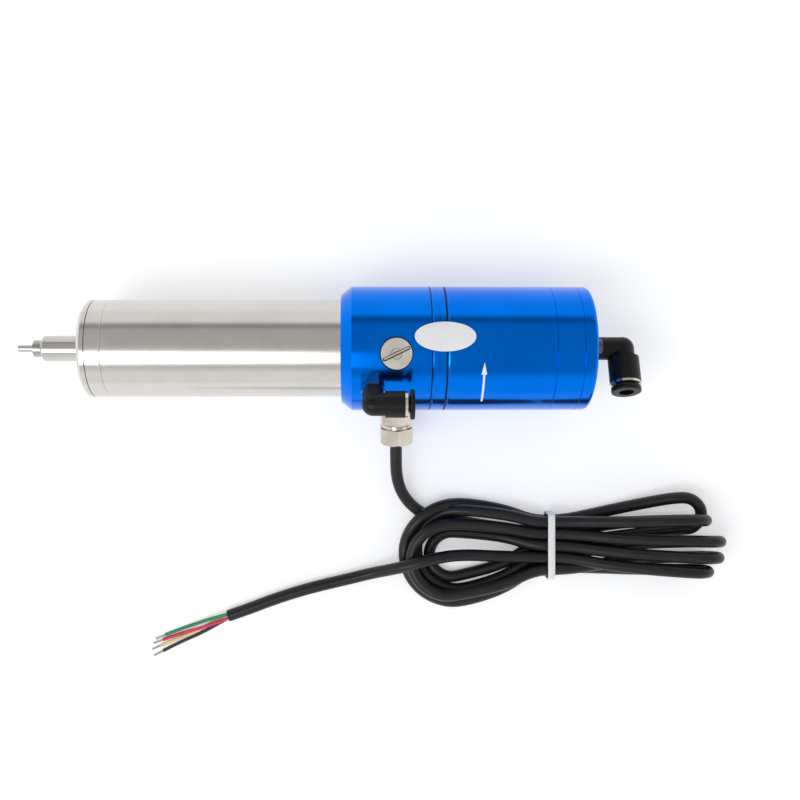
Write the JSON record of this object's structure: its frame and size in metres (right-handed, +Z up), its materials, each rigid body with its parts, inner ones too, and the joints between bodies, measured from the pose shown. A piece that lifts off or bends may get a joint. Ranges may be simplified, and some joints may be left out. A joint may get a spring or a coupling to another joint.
{
  "type": "motor spindle",
  "caption": "Air-cooled high-speed motor spindle with a round clamp barrel, pneumatic collet release, push-in air elbows, cable gland and tied cord",
  "frame": {"origin": "middle of the clamp barrel on the spindle axis", "axes": "+X along the spindle axis from the tool to the rear, +Z up, with the cord leaving towards -Y"},
  "size_m": [0.3007, 0.1586, 0.0632],
  "materials": {
    "stainless": "turned and finely brushed",
    "bearing_steel": "ground",
    "cage_resin": "phenolic resin",
    "plain_steel": "turned",
    "spring_steel": "oiled",
    "laminations": "stacked electrical sheet",
    "copper": "enamelled wire in resin",
    "magnet": "sintered and ground",
    "brass": "turned",
    "shaft_steel": "ground",
    "collet_steel": "ground and hardened",
    "tool_steel": "ground",
    "blue_anodised": "satin blue anodised",
    "plain_aluminium": "turned",
    "seal_rubber": "moulded",
    "screw_steel": "black oxide",
    "plug_steel": "turned and blasted",
    "nickel_plate": "nickel plated brass",
    "black_nylon": "moulded",
    "cord_jacket": "satin extruded",
    "white_tie": "moulded",
    "core_green": "extruded",
    "core_red": "extruded",
    "core_yellow": "extruded",
    "core_black": "extruded"
  },
  "bodies": {
    "housing": {"front_cap": "stainless", "front_bearing_housing": "stainless", "barrel_sleeve": "stainless", "outer_bearing_spacer": "bearing_steel", "front_outer_rings": "bearing_steel", "rear_bearing_housing": "plain_steel", "preload_spring": "spring_steel", "rear_outer_ring": "bearing_steel", "stator_core": "laminations", "stator_windings": "copper", "connection_block": "blue_anodised", "cylinder_plate": "blue_anodised", "cylinder_body": "blue_anodised", "centre_plate": "plain_aluminium", "cylinder_head": "blue_anodised", "cylinder_seals": "seal_rubber", "end_cap": "blue_anodised", "end_cap_screws": "screw_steel", "return_springs": "spring_steel", "service_plug": "plug_steel", "plug_washer": "seal_rubber", "gland_washer": "seal_rubber", "gland_body": "nickel_plate", "gland_nut": "nickel_plate", "gland_seal": "seal_rubber", "front_elbow_stud": "nickel_plate", "rear_elbow_stud": "nickel_plate", "cord_lead": "cord_jacket", "cord_hank": "cord_jacket", "cord_tail": "cord_jacket", "cord_tie": "white_tie", "core_green": "core_green", "core_red": "core_red", "core_yellow": "core_yellow", "core_black": "core_black"},
    "shaft": {"shaft": "shaft_steel", "inner_bearing_spacer": "bearing_steel", "front_inner_rings": "bearing_steel", "rear_inner_ring": "bearing_steel", "bearing_lock_nuts": "plain_steel", "rotor_magnet": "magnet", "balance_rings": "brass", "disc_springs": "spring_steel"},
    "front_cages": {"front_cages": "cage_resin", "front_balls": "bearing_steel"},
    "rear_cage": {"rear_cage": "cage_resin", "rear_balls": "bearing_steel"},
    "drawbar": {"drawbar": "plain_steel", "collet": "collet_steel", "tool_shank": "tool_steel", "release_nut": "plain_steel"},
    "piston": {"piston_rod": "plain_steel", "release_pistons": "plain_aluminium", "piston_seals": "seal_rubber"},
    "front_elbow": {"front_elbow_body": "black_nylon", "front_elbow_ring": "nickel_plate"},
    "front_collar": {"front_release_collar": "black_nylon"},
    "rear_elbow": {"rear_elbow_body": "black_nylon", "rear_elbow_ring": "nickel_plate"},
    "rear_collar": {"rear_release_collar": "black_nylon"}
  },
  "joints": [
    {"name": "shaft_spin", "type": "hinge", "parent": "housing", "child": "shaft", "pos_m": [0, 0, 0], "axis": [1, 0, 0], "continuous": true},
    {"name": "front_cage_spin", "type": "hinge", "parent": "housing", "child": "front_cages", "pos_m": [0, 0, 0], "axis": [1, 0, 0], "continuous": true},
    {"name": "rear_cage_spin", "type": "hinge", "parent": "housing", "child": "rear_cage", "pos_m": [0, 0, 0], "axis": [1, 0, 0], "continuous": true},
    {"name": "drawbar_slide", "type": "slide", "parent": "shaft", "child": "drawbar", "axis": [-1, 0, 0], "range_m": [0, 0.0015], "stiffness_N_per_m": 4000, "springref_m": -0.0005, "deforming": ["disc_springs"]},
    {"name": "piston_slide", "type": "slide", "parent": "housing", "child": "piston", "axis": [-1, 0, 0], "range_m": [0, 0.0025], "stiffness_N_per_m": 3000, "springref_m": -0.0005, "deforming": ["return_springs"]},
    {"name": "front_elbow_swivel", "type": "hinge", "parent": "housing", "child": "front_elbow", "pos_m": [0.064, -0.01485, 0.02043], "axis": [0, -0.5878, 0.809], "continuous": true},
    {"name": "front_collar_press", "type": "slide", "parent": "front_elbow", "child": "front_collar", "axis": [-1, 0, 0], "range_m": [0, 0.0008], "stiffness_N_per_m": 200},
    {"name": "rear_elbow_swivel", "type": "hinge", "parent": "housing", "child": "rear_elbow", "pos_m": [0.15355, 0, 0], "axis": [1, 0, 0], "continuous": true},
    {"name": "rear_collar_press", "type": "slide", "parent": "rear_elbow", "child": "rear_collar", "axis": [0, 0.9397, -0.342], "range_m": [0, 0.0008], "stiffness_N_per_m": 200}
  ],
  "couplings": [
    {"joint": "front_cage_spin", "follows": "shaft_spin", "ratio": 0.41111},
    {"joint": "rear_cage_spin", "follows": "shaft_spin", "ratio": 0.4},
    {"joint": "drawbar_slide", "follows": "piston_slide", "ratio": 0.6}
  ]
}
